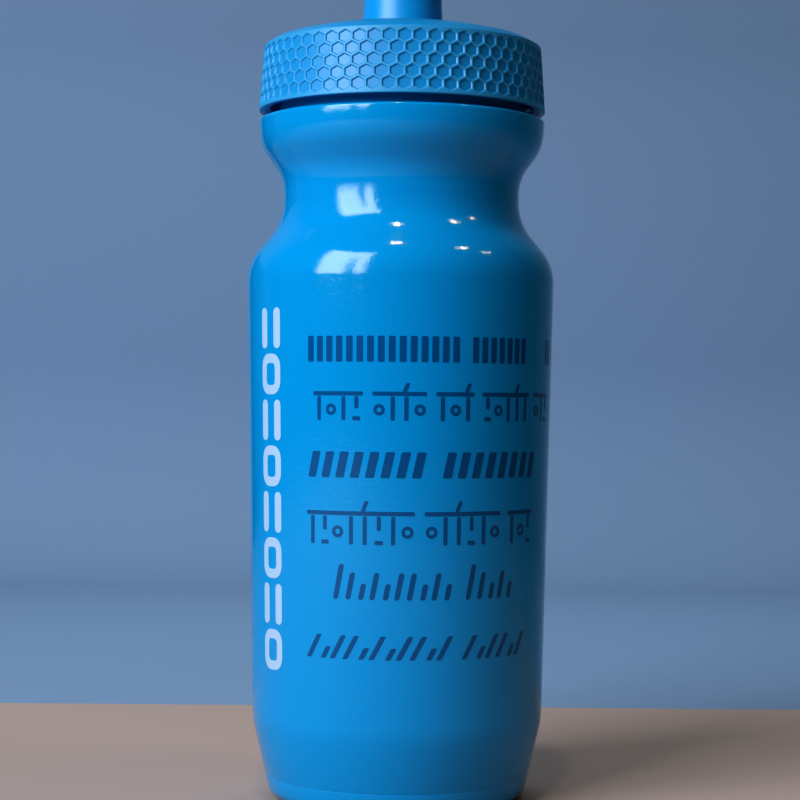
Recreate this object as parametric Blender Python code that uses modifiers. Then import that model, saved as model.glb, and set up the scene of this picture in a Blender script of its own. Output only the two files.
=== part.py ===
"""Squeeze bottle for a bicycle bottle cage, with a screw lid and a push-pull nozzle.

Every piece is turned about the Z axis. The bottle stands on z = 0. The lid and the nozzle hang on
empties on that axis, at the edge of the lid and at the top of its tower.
"""

import math

import bmesh
import bpy
from mathutils import Vector

MM = 0.001

# Clearances between pieces that touch.
CONTACT = 0.3 * MM        # between two faces that rest or seal on each other
SLIDING = 0.4 * MM        # radial, between the nozzle's sleeve and the spout tube
THREAD_PLAY = 0.6 * MM    # radial, between a thread's crest and the wall it faces

# Bottle: blow-moulded in one wall thickness, foot at z = 0.
WALL = 1.3 * MM
FOOT_RADIUS = 30.7 * MM
FOOT_RING_WIDTH = 6.2 * MM
FOOT_FILLET = 3.5 * MM
PUSH_UP_HEIGHT = 3.2 * MM
PUSH_UP_SLOPE = 3.5 * MM
PUSH_UP_FILLET = 1.5 * MM
BASE_TAPER_HEIGHT = 18.8 * MM
BASE_TAPER_FILLET = 20.0 * MM
BARREL_LOW_RADIUS = 35.08 * MM
BARREL_RADIUS = 37.25 * MM
BARREL_HEIGHT = 109.7 * MM
SHOULDER_HEIGHT = 10.3 * MM
SHOULDER_FILLET = 12.5 * MM
GROOVE_RADIUS = 28.6 * MM
GROOVE_HEIGHT = 10.6 * MM
GROOVE_LOW_FILLET = 13.5 * MM
GROOVE_HIGH_FILLET = 11.0 * MM
COLLAR_RISE = 7.5 * MM
COLLAR_HEIGHT = 6.6 * MM
COLLAR_TAPER = 0.6 * MM
COLLAR_FILLET = 10.5 * MM
COLLAR_EDGE_FILLET = 0.8 * MM
NECK_RADIUS = 29.9 * MM
NECK_HEIGHT = 15.2 * MM
NECK_ROOT_FILLET = 1.0 * MM

# Screw thread on the neck and in the lid.
THREAD_PITCH = 4.0 * MM
THREAD_DEPTH = 1.5 * MM
THREAD_ROOT_WIDTH = 2.2 * MM
THREAD_CREST_WIDTH = 0.9 * MM
THREAD_BELOW_LIP = 2.2 * MM
NECK_THREAD_TURNS = 1.75
LID_THREAD_TURNS = 1.5
THREAD_FADE_TURNS = 0.12
THREAD_SINK = 0.4 * MM

# Lid.
LID_GAP = 2.0 * MM
LID_WALL = 2.75 * MM
LID_TAPER = 1.05 * MM
LID_TOP = 2.05 * MM
LID_EDGE_FILLET = 0.5 * MM
LID_SHOULDER_FILLET = 1.0 * MM
LID_SHOULDER_DROP = 1.8 * MM
LID_SHOULDER_WIDTH = 2.5 * MM
LID_DOME_EDGE_FILLET = 4.0 * MM
LID_LEAD_IN = 0.7 * MM
DOME_RISE = 2.85 * MM
DOME_CREST = 2.55 * MM
DOME_CREST_SHARE = 0.55
DOME_FILLET = 40.0 * MM

# Gasket under the lid, and the rib that keeps it in place.
GASKET_HEIGHT = 1.1 * MM
GASKET_WIDTH = 4.7 * MM
GASKET_FILLET = 0.3 * MM
RIB_WIDTH = 1.2 * MM
RIB_HEIGHT = 2.3 * MM

# Tower on the lid, and the spout tube on top of it.
TOWER_RADIUS = 9.35 * MM
TOWER_DRAFT = 0.45 * MM
TOWER_HEIGHT = 8.7 * MM
TOWER_WALL = 1.8 * MM
TOWER_ROOT_FILLET = 1.5 * MM
TOWER_EDGE_FILLET = 0.7 * MM
TUBE_RADIUS = 7.0 * MM
TUBE_BORE_RADIUS = 4.4 * MM
TUBE_WAIST_DEPTH = 1.0 * MM
TUBE_LEAD_IN = 0.5 * MM
PLUG_RADIUS = 2.6 * MM
PLUG_SPOKE_WIDTH = 1.5 * MM
PLUG_SPOKE_HEIGHT = 2.0 * MM
PLUG_SPOKES = 3

# Slit valve in the tower, and the ring that holds it there.
VALVE_RADIUS = 7.1 * MM
VALVE_RIM_WIDTH = 1.9 * MM
VALVE_RIM_HEIGHT = 1.6 * MM
VALVE_SKIN = 0.7 * MM
VALVE_SLIT_WIDTH = 0.36 * MM
VALVE_SLIT_MARGIN = 1.6 * MM
RETAINER_HEIGHT = 3.0 * MM
RETAINER_FLANGE_HEIGHT = 1.0 * MM
RETAINER_FLANGE_WIDTH = 2.1 * MM

# Seal ring on the spout tube.
SEAL_GROOVE_DEPTH = 1.3 * MM
SEAL_GROOVE_HEIGHT = 2.2 * MM
SEAL_LAND = 1.0 * MM
SEAL_HEIGHT = 1.4 * MM

# Nozzle: a hard sleeve under a soft mouthpiece, which slide together.
NOZZLE_TRAVEL = 6.0 * MM
SLEEVE_WALL = 1.3 * MM
SLEEVE_LIP_HEIGHT = 1.4 * MM
SLEEVE_CHAMBER = 2.0 * MM
SLEEVE_TOP = 2.0 * MM
SLEEVE_FLANGE_WIDTH = 2.5 * MM
SLEEVE_FLANGE_HEIGHT = 1.2 * MM
MOUTH_BORE_RADIUS = 3.6 * MM
MOUTH_WAIST_WALL = 1.3 * MM
MOUTH_HEAD_WALL = 2.4 * MM
MOUTH_FOOT_WALL = 2.8 * MM
MOUTH_TIP_HEIGHT = 5.3 * MM
MOUTH_HEAD_HEIGHT = 6.5 * MM
MOUTH_FOOT_HEIGHT = 2.5 * MM
MOUTH_SLOPE_HEIGHT = 2.4 * MM
MOUTH_TIP_FILLET = 3.8 * MM
MOUTH_FILLET = 1.2 * MM

# How finely round shapes are divided.
LARGE_STEPS = 48
SMALL_STEPS = 32
THREAD_STEPS = 40
CHORD_ERROR = 0.11 * MM
SEAL_SECTION_POINTS = 10
MERGE = 0.01 * MM

# Radii and heights that follow from the sizes above. Heights are above the foot of the bottle.
LID_BORE_RADIUS = NECK_RADIUS + THREAD_DEPTH + THREAD_PLAY
LID_RADIUS = LID_BORE_RADIUS + LID_WALL
COLLAR_RADIUS = LID_RADIUS
BARREL_TOP = BASE_TAPER_HEIGHT + BARREL_HEIGHT
GROOVE_LOW = BARREL_TOP + SHOULDER_HEIGHT
GROOVE_HIGH = GROOVE_LOW + GROOVE_HEIGHT
COLLAR_LOW = GROOVE_HIGH + COLLAR_RISE
COLLAR_TOP = COLLAR_LOW + COLLAR_HEIGHT
LIP = COLLAR_TOP + NECK_HEIGHT
LID_EDGE = COLLAR_TOP + LID_GAP
NECK_THREAD_START = LIP - THREAD_BELOW_LIP - NECK_THREAD_TURNS * THREAD_PITCH
LID_THREAD_START = NECK_THREAD_START - THREAD_PITCH / 2

# Heights of the lid's features above its own edge.
CEILING = LIP - LID_EDGE + CONTACT + GASKET_HEIGHT + CONTACT
LID_HEIGHT = CEILING + LID_TOP
TOWER_ROOT = LID_HEIGHT + DOME_RISE
TOWER_TOP = TOWER_ROOT + TOWER_HEIGHT
RETAINER_SEAT = TOWER_ROOT - LID_TOP
VALVE_LEDGE = (RETAINER_SEAT + RETAINER_HEIGHT + CONTACT + VALVE_RIM_HEIGHT + CONTACT)
TOWER_BORE_RADIUS = VALVE_RADIUS + CONTACT
TOWER_CHAMBER_TOP = TOWER_TOP - TOWER_WALL
RIB_RADIUS = LID_BORE_RADIUS - CONTACT - GASKET_WIDTH - CONTACT

# Heights of the spout and nozzle above the top of the tower.
SLEEVE_FOOT = CONTACT
LIP_CATCH = SLEEVE_FOOT + SLEEVE_LIP_HEIGHT + NOZZLE_TRAVEL + CONTACT
SEAL_GROOVE_LOW = LIP_CATCH + SEAL_LAND
SEAL_GROOVE_HIGH = SEAL_GROOVE_LOW + SEAL_GROOVE_HEIGHT
TUBE_TOP = SEAL_GROOVE_HIGH + SEAL_LAND
SLEEVE_CEILING = TUBE_TOP + SLEEVE_CHAMBER
SLEEVE_HEAD = SLEEVE_CEILING + SLEEVE_TOP
MOUTH_FOOT = SLEEVE_FOOT + SLEEVE_FLANGE_HEIGHT + CONTACT
MOUTH_CEILING = SLEEVE_HEAD + CONTACT
MOUTH_TIP = MOUTH_CEILING + MOUTH_TIP_HEIGHT
TUBE_WAIST_RADIUS = TUBE_RADIUS - TUBE_WAIST_DEPTH
SLEEVE_BORE_RADIUS = TUBE_RADIUS + SLIDING
SLEEVE_RADIUS = SLEEVE_BORE_RADIUS + SLEEVE_WALL
SLEEVE_LIP_RADIUS = TUBE_WAIST_RADIUS + SLIDING
OUTLET_RADIUS = PLUG_RADIUS + SLIDING
MOUTH_SOCKET_RADIUS = SLEEVE_RADIUS + CONTACT


def clear_scene():
    for item in list(bpy.data.objects):
        bpy.data.objects.remove(item, do_unlink=True)


def new_collection(name):
    made = bpy.data.collections.new(name)
    bpy.context.scene.collection.children.link(made)
    return made


def plastic(name, colour, roughness):
    """A non-metallic material. The colour is linear red, green and blue."""
    material = bpy.data.materials.new(name)
    material.use_nodes = True
    shader = material.node_tree.nodes["Principled BSDF"]
    shader.inputs["Base Color"].default_value = (*colour, 1.0)
    shader.inputs["Roughness"].default_value = roughness
    shader.inputs["Metallic"].default_value = 0.0
    material.diffuse_color = (*colour, 1.0)
    return material


def axis_empty(name, height, parent=None):
    """An empty on the Z axis, at a height above its parent's origin."""
    empty = bpy.data.objects.new(name, None)
    empty.location = (0.0, 0.0, height)
    empty.parent = parent
    parts.objects.link(empty)
    return empty


def mesh_object(name, mesh, collection, parent=None):
    made = bpy.data.objects.new(name, mesh)
    made.parent = parent
    collection.objects.link(made)
    return made


# Outlines. A corner is (radius, height, fillet), and an outline is a list of (radius, height).

def rounded(corners, closed=False):
    """The outline through these corners, with an arc of each corner's fillet radius.

    Where two fillets want more than the straight between them, both get smaller.
    """
    count = len(corners)
    points = [Vector(corner[:2]) for corner in corners]
    outline = []
    for index, corner in enumerate(corners):
        here = points[index]
        at_end = not closed and index in (0, count - 1)
        if at_end or corner[2] == 0.0:
            outline.append(here)
            continue
        back = points[index - 1] - here
        ahead = points[(index + 1) % count] - here
        half_angle = back.angle(ahead) / 2
        reach = min(corner[2] / math.tan(half_angle), 0.49 * back.length, 0.49 * ahead.length)
        radius = reach * math.tan(half_angle)
        centre = here + (back.normalized() + ahead.normalized()).normalized() * radius / math.sin(half_angle)
        first = here + back.normalized() * reach - centre
        last = here + ahead.normalized() * reach - centre
        sweep = first.angle_signed(last)
        chord_angle = 2 * math.acos(max(1 - CHORD_ERROR / radius, 0.0))
        pieces = max(1, math.ceil(abs(sweep) / chord_angle))
        for piece in range(pieces + 1):
            turn = -sweep * piece / pieces
            x = first.x * math.cos(turn) - first.y * math.sin(turn)
            y = first.x * math.sin(turn) + first.y * math.cos(turn)
            outline.append(centre + Vector((x, y)))
    return outline


def moved_in(corners, distance):
    """The same corners on a wall's inner face. The outline runs down its outer side."""
    moved = []
    for index, (radius, height, fillet) in enumerate(corners):
        here = Vector((radius, height))
        before = Vector(corners[max(index - 1, 0)][:2])
        after = Vector(corners[min(index + 1, len(corners) - 1)][:2])
        arriving = (here - before) if index > 0 else (after - here)
        leaving = (after - here) if index < len(corners) - 1 else (here - before)
        arriving.normalize()
        leaving.normalize()
        inward = Vector((arriving.y, -arriving.x)) + Vector((leaving.y, -leaving.x))
        inward.normalize()
        stretch = distance / inward.dot(Vector((arriving.y, -arriving.x)))
        convex = arriving.x * leaving.y - arriving.y * leaving.x < 0
        inner_fillet = max(fillet - distance, fillet / 2) if convex else fillet + distance
        moved.append((*(here + inward * stretch), inner_fillet if fillet else 0.0))
    return moved


def lathe(name, outline, material, steps, closed=True, parent=None):
    """A solid of revolution. The outline runs down its outer side."""
    mesh = bpy.data.meshes.new(name)
    count = len(outline)
    edges = [(index, (index + 1) % count) for index in range(count if closed else count - 1)]
    mesh.from_pydata([(radius, 0.0, height) for radius, height in outline], edges, [])
    mesh.materials.append(material)
    made = mesh_object(name, mesh, parts, parent)
    screw = made.modifiers.new("turn", "SCREW")
    screw.axis = "Z"
    screw.steps = screw.render_steps = steps
    screw.use_merge_vertices = True
    screw.merge_threshold = MERGE
    return made


def combine(target, tool, operation):
    """Join or cut with another object, which moves to the cutters."""
    boolean = target.modifiers.new(tool.name, "BOOLEAN")
    boolean.operation = operation
    boolean.solver = "EXACT"
    boolean.object = tool
    tool.hide_render = True
    tool.display_type = "WIRE"


def thread_ridge(name, wall_radius, depth, start, turns, parent=None):
    """A helical ridge that stands out from a wall by depth, or inwards where depth is negative.

    Its two ends fade into the wall.
    """
    outward = math.copysign(1.0, depth)
    root = wall_radius - outward * THREAD_SINK
    reach = depth + outward * THREAD_SINK
    steps = round(turns * THREAD_STEPS)
    ridge = bmesh.new()
    rings = []
    for step in range(steps + 1):
        turned = turns * step / steps
        from_end = min(turned, turns - turned)
        grown = 0.15 + 0.85 * min(from_end / THREAD_FADE_TURNS, 1.0)
        crest = root + reach * grown
        height = start + THREAD_PITCH * turned
        direction = Vector((math.cos(math.tau * turned), math.sin(math.tau * turned), 0.0))
        section = (
            (root, -THREAD_ROOT_WIDTH / 2),
            (crest, -THREAD_CREST_WIDTH / 2),
            (crest, THREAD_CREST_WIDTH / 2),
            (root, THREAD_ROOT_WIDTH / 2),
        )
        rings.append([ridge.verts.new(direction * radius + Vector((0, 0, height + rise)))
                      for radius, rise in section])
    for low, high in zip(rings, rings[1:]):
        for side in range(4):
            after = (side + 1) % 4
            ridge.faces.new((low[side], low[after], high[after], high[side]))
    ridge.faces.new(rings[0])
    ridge.faces.new(rings[-1])
    bmesh.ops.recalc_face_normals(ridge, faces=ridge.faces)
    mesh = bpy.data.meshes.new(name)
    ridge.to_mesh(mesh)
    ridge.free()
    return mesh_object(name, mesh, cutters, parent)


def box_tool(name, size, centre, turn=0.0, parent=None):
    mesh = bpy.data.meshes.new(name)
    box = bmesh.new()
    bmesh.ops.create_cube(box, size=1.0)
    bmesh.ops.scale(box, vec=size, verts=box.verts)
    box.to_mesh(mesh)
    box.free()
    made = mesh_object(name, mesh, cutters, parent)
    made.location = centre
    made.rotation_euler = (0.0, 0.0, turn)
    return made


def rod_tool(name, radius, low, high, parent=None):
    mesh = bpy.data.meshes.new(name)
    rod = bmesh.new()
    bmesh.ops.create_cone(rod, cap_ends=True, segments=SMALL_STEPS, radius1=radius, radius2=radius,
                          depth=high - low)
    rod.to_mesh(mesh)
    rod.free()
    made = mesh_object(name, mesh, cutters, parent)
    made.location = (0.0, 0.0, (low + high) / 2)
    return made


def bottle_body():
    foot_inner = FOOT_RADIUS - FOOT_RING_WIDTH
    corners = [
        (NECK_RADIUS, LIP, 0.0),
        (NECK_RADIUS, COLLAR_TOP, NECK_ROOT_FILLET),
        (COLLAR_RADIUS, COLLAR_TOP, COLLAR_EDGE_FILLET),
        (COLLAR_RADIUS - COLLAR_TAPER, COLLAR_LOW, COLLAR_FILLET),
        (GROOVE_RADIUS, GROOVE_HIGH, GROOVE_HIGH_FILLET),
        (GROOVE_RADIUS, GROOVE_LOW, GROOVE_LOW_FILLET),
        (BARREL_RADIUS, BARREL_TOP, SHOULDER_FILLET),
        (BARREL_LOW_RADIUS, BASE_TAPER_HEIGHT, BASE_TAPER_FILLET),
        (FOOT_RADIUS, 0.0, FOOT_FILLET),
        (foot_inner, 0.0, PUSH_UP_FILLET),
        (foot_inner - PUSH_UP_SLOPE, PUSH_UP_HEIGHT, PUSH_UP_FILLET),
        (0.0, PUSH_UP_HEIGHT, 0.0),
    ]
    outline = rounded(moved_in(corners, WALL))[::-1] + rounded(corners)
    body = lathe("bottle_body", outline, body_plastic, LARGE_STEPS, closed=False)
    thread = thread_ridge("neck_thread", NECK_RADIUS, THREAD_DEPTH, NECK_THREAD_START, NECK_THREAD_TURNS)
    combine(body, thread, "UNION")


def lid_shell(lid):
    """The lid, its tower, its spout tube and the plug that stands in the tube on three spokes."""
    shoulder = LID_RADIUS - LID_TAPER
    dome_edge = shoulder - LID_SHOULDER_WIDTH
    crest = TOWER_RADIUS + (dome_edge - TOWER_RADIUS) * DOME_CREST_SHARE
    rib_share = (dome_edge - RIB_RADIUS + RIB_WIDTH) / (dome_edge - crest)
    tube = TUBE_RADIUS
    corners = [
        (TUBE_BORE_RADIUS, TOWER_TOP + TUBE_TOP, 0.0),
        (tube, TOWER_TOP + TUBE_TOP, TUBE_LEAD_IN),
        (tube, TOWER_TOP + SEAL_GROOVE_HIGH, 0.0),
        (tube - SEAL_GROOVE_DEPTH, TOWER_TOP + SEAL_GROOVE_HIGH, 0.0),
        (tube - SEAL_GROOVE_DEPTH, TOWER_TOP + SEAL_GROOVE_LOW, 0.0),
        (tube, TOWER_TOP + SEAL_GROOVE_LOW, 0.0),
        (tube, TOWER_TOP + LIP_CATCH, 0.0),
        (TUBE_WAIST_RADIUS, TOWER_TOP + LIP_CATCH, 0.0),
        (TUBE_WAIST_RADIUS, TOWER_TOP, 0.0),
        (TOWER_RADIUS, TOWER_TOP, TOWER_EDGE_FILLET),
        (TOWER_RADIUS + TOWER_DRAFT, TOWER_ROOT, TOWER_ROOT_FILLET),
        (crest, LID_HEIGHT + DOME_CREST, DOME_FILLET),
        (dome_edge, LID_HEIGHT, LID_DOME_EDGE_FILLET),
        (shoulder, LID_HEIGHT - LID_SHOULDER_DROP, LID_SHOULDER_FILLET),
        (LID_RADIUS, 0.0, LID_EDGE_FILLET),
        (LID_BORE_RADIUS + LID_LEAD_IN, 0.0, 0.0),
        (LID_BORE_RADIUS, LID_LEAD_IN, 0.0),
        (LID_BORE_RADIUS, CEILING, 0.0),
        (RIB_RADIUS, CEILING, 0.0),
        (RIB_RADIUS, CEILING - RIB_HEIGHT, 0.0),
        (RIB_RADIUS - RIB_WIDTH, CEILING - RIB_HEIGHT, 0.0),
        (RIB_RADIUS - RIB_WIDTH, LID_HEIGHT + rib_share * DOME_CREST - LID_TOP, 0.0),
        (crest, LID_HEIGHT + DOME_CREST - LID_TOP, DOME_FILLET),
        (VALVE_RADIUS + RETAINER_FLANGE_WIDTH + CONTACT, RETAINER_SEAT, 0.0),
        (TOWER_BORE_RADIUS, RETAINER_SEAT, 0.0),
        (TOWER_BORE_RADIUS, VALVE_LEDGE, 0.0),
        (VALVE_RADIUS - VALVE_RIM_WIDTH / 2, VALVE_LEDGE, 0.0),
        (VALVE_RADIUS - VALVE_RIM_WIDTH / 2, TOWER_CHAMBER_TOP, 0.0),
        (TUBE_BORE_RADIUS, TOWER_CHAMBER_TOP, 0.0),
    ]
    shell = lathe("lid_shell", rounded(corners, closed=True), lid_plastic, LARGE_STEPS, parent=lid)
    thread = thread_ridge("lid_thread", LID_BORE_RADIUS, -THREAD_DEPTH, LID_THREAD_START - LID_EDGE,
                          LID_THREAD_TURNS, parent=lid)
    combine(shell, thread, "UNION")
    spokes_top = TOWER_TOP + TUBE_TOP - SEAL_LAND
    plug = rod_tool("plug", PLUG_RADIUS, spokes_top - PLUG_SPOKE_HEIGHT, TOWER_TOP + SLEEVE_HEAD - CONTACT,
                    parent=lid)
    combine(shell, plug, "UNION")
    reach = TUBE_BORE_RADIUS + THREAD_SINK
    for number in range(PLUG_SPOKES):
        turn = math.tau * number / PLUG_SPOKES
        centre = Vector((math.cos(turn), math.sin(turn), 0.0)) * reach / 2
        centre.z = spokes_top - PLUG_SPOKE_HEIGHT / 2
        spoke = box_tool(f"plug_spoke_{number + 1}", (reach, PLUG_SPOKE_WIDTH, PLUG_SPOKE_HEIGHT), centre,
                         turn, parent=lid)
        combine(shell, spoke, "UNION")


def lid_gasket(lid):
    outer = LID_BORE_RADIUS - CONTACT
    low = LIP - LID_EDGE + CONTACT
    corners = [
        (outer - GASKET_WIDTH, low + GASKET_HEIGHT, GASKET_FILLET),
        (outer, low + GASKET_HEIGHT, GASKET_FILLET),
        (outer, low, GASKET_FILLET),
        (outer - GASKET_WIDTH, low, GASKET_FILLET),
    ]
    lathe("lid_gasket", rounded(corners, closed=True), seal_rubber, LARGE_STEPS, parent=lid)


def slit_valve(lid):
    """A soft disc with a cross cut in its thin middle, which opens when the bottle is squeezed."""
    top = VALVE_LEDGE - CONTACT
    low = top - VALVE_RIM_HEIGHT
    middle = (top + low) / 2
    inner = VALVE_RADIUS - VALVE_RIM_WIDTH
    corners = [
        (0.0, middle + VALVE_SKIN / 2, 0.0),
        (inner - VALVE_SKIN, middle + VALVE_SKIN / 2, 0.0),
        (inner, top, 0.0),
        (VALVE_RADIUS, top, GASKET_FILLET),
        (VALVE_RADIUS, low, GASKET_FILLET),
        (inner, low, 0.0),
        (inner - VALVE_SKIN, middle - VALVE_SKIN / 2, 0.0),
        (0.0, middle - VALVE_SKIN / 2, 0.0),
    ]
    valve = lathe("slit_valve", rounded(corners), valve_rubber, SMALL_STEPS, closed=False, parent=lid)
    length = 2 * (VALVE_RADIUS - VALVE_SLIT_MARGIN - VALVE_RIM_WIDTH)
    for number, turn in enumerate((0.0, math.pi / 2)):
        slit = box_tool(f"valve_slit_{number + 1}", (length, VALVE_SLIT_WIDTH, 2 * VALVE_RIM_HEIGHT),
                        (0.0, 0.0, middle), turn + math.tau / 16, parent=lid)
        combine(valve, slit, "DIFFERENCE")


def valve_retainer(lid):
    inner = VALVE_RADIUS - VALVE_RIM_WIDTH
    flange = VALVE_RADIUS + RETAINER_FLANGE_WIDTH
    seat = RETAINER_SEAT - CONTACT
    outline = [
        (inner, RETAINER_SEAT + RETAINER_HEIGHT),
        (VALVE_RADIUS, RETAINER_SEAT + RETAINER_HEIGHT),
        (VALVE_RADIUS, seat),
        (flange, seat),
        (flange, seat - RETAINER_FLANGE_HEIGHT),
        (inner, seat - RETAINER_FLANGE_HEIGHT),
    ]
    lathe("valve_retainer", outline, lid_plastic, SMALL_STEPS, parent=lid)


def nozzle_o_ring(lid):
    """Rests in the tube's groove and seals on the sleeve's bore."""
    inner = TUBE_RADIUS - SEAL_GROOVE_DEPTH + CONTACT
    outer = SLEEVE_BORE_RADIUS - CONTACT
    height = TOWER_TOP + (SEAL_GROOVE_LOW + SEAL_GROOVE_HIGH) / 2
    outline = []
    for number in range(SEAL_SECTION_POINTS):
        turn = math.tau * number / SEAL_SECTION_POINTS
        outline.append(((inner + outer) / 2 + (outer - inner) / 2 * math.sin(turn),
                        height + SEAL_HEIGHT / 2 * math.cos(turn)))
    lathe("nozzle_o_ring", outline, seal_rubber, SMALL_STEPS, parent=lid)


def nozzle_core(nozzle):
    """The hard sleeve. Its lip catches under the tube's shoulder when the nozzle is pulled up."""
    flange_top = SLEEVE_FOOT + SLEEVE_FLANGE_HEIGHT
    lip_top = SLEEVE_FOOT + SLEEVE_LIP_HEIGHT
    corners = [
        (OUTLET_RADIUS, SLEEVE_HEAD, 0.0),
        (SLEEVE_RADIUS, SLEEVE_HEAD, TUBE_LEAD_IN),
        (SLEEVE_RADIUS, flange_top, 0.0),
        (SLEEVE_RADIUS + SLEEVE_FLANGE_WIDTH, flange_top, 0.0),
        (SLEEVE_RADIUS + SLEEVE_FLANGE_WIDTH, SLEEVE_FOOT, TUBE_LEAD_IN),
        (SLEEVE_LIP_RADIUS, SLEEVE_FOOT, 0.0),
        (SLEEVE_LIP_RADIUS, lip_top, 0.0),
        (SLEEVE_BORE_RADIUS, lip_top, 0.0),
        (SLEEVE_BORE_RADIUS, SLEEVE_CEILING, 0.0),
        (OUTLET_RADIUS, SLEEVE_CEILING, 0.0),
    ]
    lathe("nozzle_core", rounded(corners, closed=True), nozzle_plastic, SMALL_STEPS, parent=nozzle)


def mouthpiece(nozzle):
    waist = MOUTH_SOCKET_RADIUS + MOUTH_WAIST_WALL
    head = MOUTH_SOCKET_RADIUS + MOUTH_HEAD_WALL
    foot = MOUTH_SOCKET_RADIUS + MOUTH_FOOT_WALL
    head_low = MOUTH_TIP - MOUTH_HEAD_HEIGHT
    foot_high = MOUTH_FOOT + MOUTH_FOOT_HEIGHT
    corners = [
        (MOUTH_BORE_RADIUS, MOUTH_TIP, MOUTH_FILLET),
        (head, MOUTH_TIP, MOUTH_TIP_FILLET),
        (head, head_low, MOUTH_FILLET),
        (waist, head_low - MOUTH_SLOPE_HEIGHT, MOUTH_FILLET),
        (waist, foot_high + MOUTH_SLOPE_HEIGHT, MOUTH_FILLET),
        (foot, foot_high, MOUTH_FILLET),
        (foot, MOUTH_FOOT, GASKET_FILLET),
        (MOUTH_SOCKET_RADIUS, MOUTH_FOOT, 0.0),
        (MOUTH_SOCKET_RADIUS, MOUTH_CEILING, GASKET_FILLET),
        (MOUTH_BORE_RADIUS, MOUTH_CEILING, 0.0),
    ]
    lathe("mouthpiece", rounded(corners, closed=True), mouth_rubber, SMALL_STEPS, parent=nozzle)


clear_scene()
parts = new_collection("water_bottle")
cutters = new_collection("cutters")
cutters.hide_render = True

body_plastic = plastic("body_plastic", (0.012, 0.235, 0.60), 0.28)
lid_plastic = plastic("lid_plastic", (0.045, 0.24, 0.55), 0.5)
nozzle_plastic = plastic("nozzle_plastic", (0.012, 0.20, 0.52), 0.35)
mouth_rubber = plastic("mouth_rubber", (0.015, 0.16, 0.42), 0.6)
seal_rubber = plastic("seal_rubber", (0.62, 0.66, 0.68), 0.55)
valve_rubber = plastic("valve_rubber", (0.70, 0.74, 0.76), 0.45)

lid_axis = axis_empty("lid_axis", LID_EDGE)
nozzle_axis = axis_empty("nozzle_axis", TOWER_TOP, parent=lid_axis)

bottle_body()
lid_shell(lid_axis)
lid_gasket(lid_axis)
slit_valve(lid_axis)
valve_retainer(lid_axis)
nozzle_o_ring(lid_axis)
nozzle_core(nozzle_axis)
mouthpiece(nozzle_axis)
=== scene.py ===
"""The finished look of a bicycle water bottle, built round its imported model."""

import math

import bmesh
import bpy
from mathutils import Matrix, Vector


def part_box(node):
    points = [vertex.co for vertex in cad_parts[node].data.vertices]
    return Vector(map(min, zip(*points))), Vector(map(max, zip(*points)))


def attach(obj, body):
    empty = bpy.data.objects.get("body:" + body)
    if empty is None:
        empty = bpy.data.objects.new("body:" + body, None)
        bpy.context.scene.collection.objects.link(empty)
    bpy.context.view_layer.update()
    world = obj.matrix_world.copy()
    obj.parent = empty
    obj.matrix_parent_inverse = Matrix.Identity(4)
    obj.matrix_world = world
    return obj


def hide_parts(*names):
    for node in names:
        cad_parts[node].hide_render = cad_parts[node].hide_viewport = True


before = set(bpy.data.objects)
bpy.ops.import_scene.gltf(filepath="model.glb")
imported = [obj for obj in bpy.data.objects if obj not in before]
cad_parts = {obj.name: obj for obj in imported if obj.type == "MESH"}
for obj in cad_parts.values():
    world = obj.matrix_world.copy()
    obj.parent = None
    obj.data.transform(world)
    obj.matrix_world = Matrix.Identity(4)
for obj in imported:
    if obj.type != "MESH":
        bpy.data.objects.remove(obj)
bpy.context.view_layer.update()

MM = 0.001
DEGREE = math.pi / 180
WELD = 0.02 * MM

# Heights of the pieces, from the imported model.
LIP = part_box("bottle_body")[1].z
LID_EDGE, SPOUT_TIP = (corner.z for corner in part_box("lid_shell"))
GASKET_LOW, GASKET_HIGH = (corner.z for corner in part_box("lid_gasket"))
VALVE_LOW, VALVE_HIGH = (corner.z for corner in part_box("slit_valve"))
RETAINER_LOW, RETAINER_HIGH = (corner.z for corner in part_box("valve_retainer"))
SEAL_LOW, SEAL_HIGH = (corner.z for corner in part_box("nozzle_o_ring"))
SLEEVE_LOW, SLEEVE_HIGH = (corner.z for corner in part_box("nozzle_core"))
MOUTH_LOW, MOUTH_HIGH = (corner.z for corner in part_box("mouthpiece"))
CONTACT = GASKET_LOW - LIP

# Bottle.
WALL = 1.3 * MM
NECK_HEIGHT = 15.2 * MM
COLLAR_TOP = LIP - NECK_HEIGHT
COLLAR_LOW = COLLAR_TOP - 6.6 * MM
GROOVE_HIGH = COLLAR_LOW - 7.5 * MM
GROOVE_LOW = GROOVE_HIGH - 10.6 * MM
BARREL_TOP = GROOVE_LOW - 10.3 * MM
BASE_TAPER_TOP = BARREL_TOP - 109.7 * MM
FOOT_RADIUS = 30.7 * MM
FOOT_INNER_RADIUS = 24.5 * MM
BARREL_LOW_RADIUS = 35.08 * MM
BARREL_RADIUS = 37.25 * MM
GROOVE_RADIUS = 28.6 * MM
NECK_RADIUS = 29.9 * MM
PUSH_UP = 3.2 * MM
PUSH_UP_RADIUS = 21.0 * MM
MOULD_LINE_HEIGHT = 5.6 * MM
MOULD_LINE_WIDTH = 0.5 * MM
MOULD_LINE_DEPTH = 0.12 * MM

# Screw thread.
THREAD_PITCH = 4.0 * MM
THREAD_DEPTH = 1.5 * MM
THREAD_SINK = 0.4 * MM
THREAD_ROOT_WIDTH = 2.2 * MM
THREAD_CREST_WIDTH = 0.9 * MM
NECK_THREAD_TURNS = 1.75
LID_THREAD_TURNS = 1.5
NECK_THREAD_START = LIP - 2.2 * MM - NECK_THREAD_TURNS * THREAD_PITCH

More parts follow.
